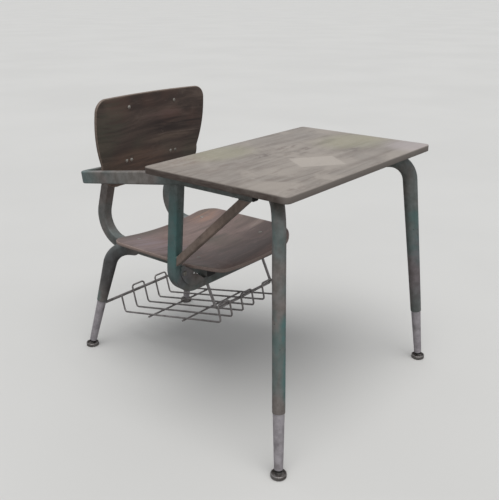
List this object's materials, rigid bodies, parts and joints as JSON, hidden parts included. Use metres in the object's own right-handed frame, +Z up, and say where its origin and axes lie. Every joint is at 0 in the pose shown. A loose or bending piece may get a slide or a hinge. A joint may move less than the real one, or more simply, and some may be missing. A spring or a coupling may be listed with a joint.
{
  "type": "student desk chair",
  "caption": "School desk and chair in one steel-tube frame: moulded plywood seat and back, small desktop joined by a right-hand arm, wire book basket under the seat.",
  "frame": {"origin": "on the floor, at the middle of the bounding box", "axes": "+X is the sitter's left, -Y is the way the sitter faces (towards the desktop), +Z is up"},
  "size_m": [0.7, 0.8156, 0.723],
  "materials": {
    "frame_paint": "worn semi-gloss enamel, grey with blue-green showing through",
    "brace_paint": "worn brown-grey enamel",
    "wire_paint": "grey enamel on wire",
    "seat_plywood": "moulded plywood, worn clear coat",
    "back_plywood": "moulded plywood, dark stained and worn",
    "desk_laminate": "matt laminate, smudged and scratched",
    "desk_board": "raw particle board",
    "edge_band": "matt edge strip",
    "plated_steel": "dull nickel plating",
    "glide_steel": "worn nickel plating",
    "stud_steel": "turned steel",
    "cushion_rubber": "black rubber",
    "black_plastic": "moulded plastic",
    "bright_fasteners": "zinc-plated"
  },
  "bodies": {
    "frame": {"desk_core": "desk_board", "desk_laminate": "desk_laminate", "desk_edge_band": "edge_band", "arm_rail": "frame_paint", "arm_end_plug": "black_plastic", "post_cross_rail": "frame_paint", "cross_rail_plug": "black_plastic", "gusset_plate": "frame_paint", "gusset_bolt": "bright_fasteners", "diagonal_brace": "brace_paint", "seat_rail_right": "frame_paint", "seat_rail_left": "frame_paint", "rail_plug_right": "black_plastic", "rail_plug_left": "black_plastic", "upright_plug_right": "black_plastic", "upright_plug_left": "black_plastic", "seat_shell": "seat_plywood", "backrest_shell": "back_plywood", "back_strap_lower": "frame_paint", "back_strap_upper": "frame_paint", "backrest_rivets": "bright_fasteners", "seat_rivets": "bright_fasteners", "leg_plate_right": "frame_paint", "leg_plate_left": "frame_paint", "desk_screws": "bright_fasteners", "basket_wire": "wire_paint", "basket_rear_rod": "wire_paint", "basket_front_rod": "wire_paint", "basket_cross_wire_1": "wire_paint", "basket_cross_wire_2": "wire_paint", "leg_front_right": "frame_paint", "leg_end_front_right": "plated_steel", "glide_stem_front_right": "stud_steel", "glide_cushion_front_right": "cushion_rubber", "leg_front_left": "frame_paint", "leg_end_front_left": "plated_steel", "glide_stem_front_left": "stud_steel", "glide_cushion_front_left": "cushion_rubber", "leg_rear_right": "frame_paint", "leg_end_rear_right": "plated_steel", "glide_stem_rear_right": "stud_steel", "glide_cushion_rear_right": "cushion_rubber", "leg_rear_left": "frame_paint", "leg_end_rear_left": "plated_steel", "glide_stem_rear_left": "stud_steel", "glide_cushion_rear_left": "cushion_rubber"},
    "glide_front_right": {"glide_foot_front_right": "glide_steel"},
    "glide_front_left": {"glide_foot_front_left": "glide_steel"},
    "glide_rear_right": {"glide_foot_rear_right": "glide_steel"},
    "glide_rear_left": {"glide_foot_rear_left": "glide_steel"}
  },
  "joints": [
    {"name": "glide_front_right_tilt", "type": "hinge", "parent": "frame", "child": "glide_front_right", "pos_m": [-0.3325, -0.3903, 0.0075], "axis": [0.6691, -0.7431, 0], "range_deg": [-6, 6]},
    {"name": "glide_front_left_tilt", "type": "hinge", "parent": "frame", "child": "glide_front_left", "pos_m": [0.3325, -0.3903, 0.0075], "axis": [0.6691, 0.7431, 0], "range_deg": [-6, 6]},
    {"name": "glide_rear_right_tilt", "type": "hinge", "parent": "frame", "child": "glide_rear_right", "pos_m": [-0.1986, 0.3903, 0.0075], "axis": [-0.9063, -0.4226, 0], "range_deg": [-6, 6]},
    {"name": "glide_rear_left_tilt", "type": "hinge", "parent": "frame", "child": "glide_rear_left", "pos_m": [0.1986, 0.3903, 0.0075], "axis": [-0.9063, 0.4226, 0], "range_deg": [-6, 6]}
  ]
}
